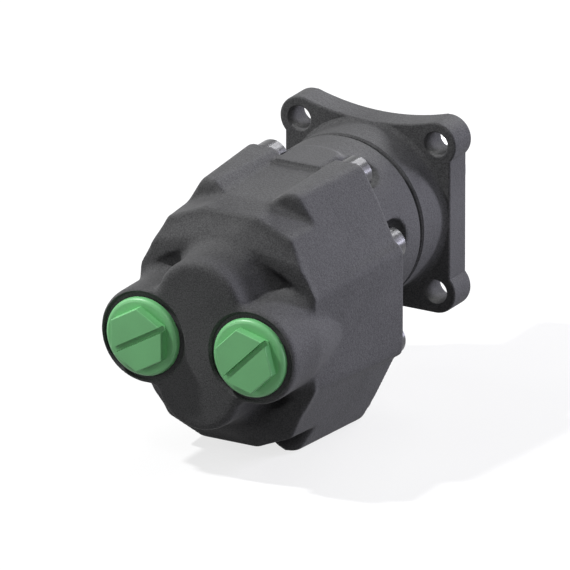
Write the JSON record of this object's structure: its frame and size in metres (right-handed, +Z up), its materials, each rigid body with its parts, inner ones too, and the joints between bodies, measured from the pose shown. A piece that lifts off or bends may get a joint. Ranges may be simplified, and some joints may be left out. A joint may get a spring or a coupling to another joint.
{
  "type": "gear pump",
  "caption": "External gear pump with a square bolt flange, splined drive shaft, cast block body and capped rear ports; meshing gears run inside on plain bushes.",
  "frame": {"origin": "centre of the centring spigot in the plane of the mounting face, on the drive shaft's axis", "axes": "+Y along the drive shaft towards the gearbox, +Z up from the driven gear to the drive shaft, X across the two ports"},
  "size_m": [0.1144, 0.2523, 0.1419],
  "materials": {
    "cast_iron": "sand cast, dark",
    "hard_steel": "ground",
    "screw_steel": "zinc plated",
    "spring_steel": "phosphated",
    "brass": "pressed",
    "aluminium": "machined",
    "bronze": "sintered",
    "seal_rubber": "matt",
    "lip_rubber": "matt",
    "green_plastic": "moulded"
  },
  "bodies": {
    "housing": {"front_cover": "cast_iron", "pump_body": "cast_iron", "bearing_outer_ring": "hard_steel", "bearing_circlip": "spring_steel", "outer_shaft_seal": "lip_rubber", "inner_shaft_seal": "lip_rubber", "front_bearing_block": "aluminium", "rear_bearing_block": "aluminium", "drive_front_bush": "bronze", "drive_rear_bush": "bronze", "driven_front_bush": "bronze", "driven_rear_bush": "bronze", "front_pressure_seal": "seal_rubber", "rear_pressure_seal": "seal_rubber", "body_seal": "seal_rubber", "dowel_pins": "hard_steel", "cover_screws": "screw_steel"},
    "drive_train": {"input_shaft": "hard_steel", "drive_gear": "hard_steel", "bearing_inner_ring": "hard_steel", "shaft_circlip": "spring_steel"},
    "driven_train": {"driven_gear": "hard_steel"},
    "ball_set": {"bearing_balls": "hard_steel", "bearing_cage": "brass"},
    "left_ring": {"left_cap_seal": "seal_rubber"},
    "left_plug": {"left_port_cap": "green_plastic"},
    "right_ring": {"right_cap_seal": "seal_rubber"},
    "right_plug": {"right_port_cap": "green_plastic"}
  },
  "joints": [
    {"name": "drive_turn", "type": "hinge", "parent": "housing", "child": "drive_train", "pos_m": [0, 0, 0], "axis": [0, 1, 0], "continuous": true},
    {"name": "driven_turn", "type": "hinge", "parent": "housing", "child": "driven_train", "pos_m": [0, -0.13, -0.042], "axis": [0, 1, 0], "continuous": true},
    {"name": "ball_turn", "type": "hinge", "parent": "housing", "child": "ball_set", "pos_m": [0, -0.017, 0], "axis": [0, 1, 0], "continuous": true},
    {"name": "left_plug_turn", "type": "hinge", "parent": "housing", "child": "left_ring", "pos_m": [-0.0312, -0.189, -0.021], "axis": [0, -1, 0], "range_deg": [0, 2250]},
    {"name": "left_plug_lift", "type": "slide", "parent": "left_ring", "child": "left_plug", "axis": [0, -1, 0], "range_m": [0, 0.01443]},
    {"name": "right_plug_turn", "type": "hinge", "parent": "housing", "child": "right_ring", "pos_m": [0.0312, -0.189, -0.021], "axis": [0, -1, 0], "range_deg": [0, 2250]},
    {"name": "right_plug_lift", "type": "slide", "parent": "right_ring", "child": "right_plug", "axis": [0, -1, 0], "range_m": [0, 0.01443]}
  ],
  "couplings": [
    {"joint": "driven_turn", "follows": "drive_turn", "ratio": -1},
    {"joint": "ball_turn", "follows": "drive_turn", "ratio": 0.3963},
    {"joint": "left_plug_turn", "follows": "left_plug_lift", "rad_per_m": 2721.2},
    {"joint": "right_plug_turn", "follows": "right_plug_lift", "rad_per_m": 2721.2}
  ]
}
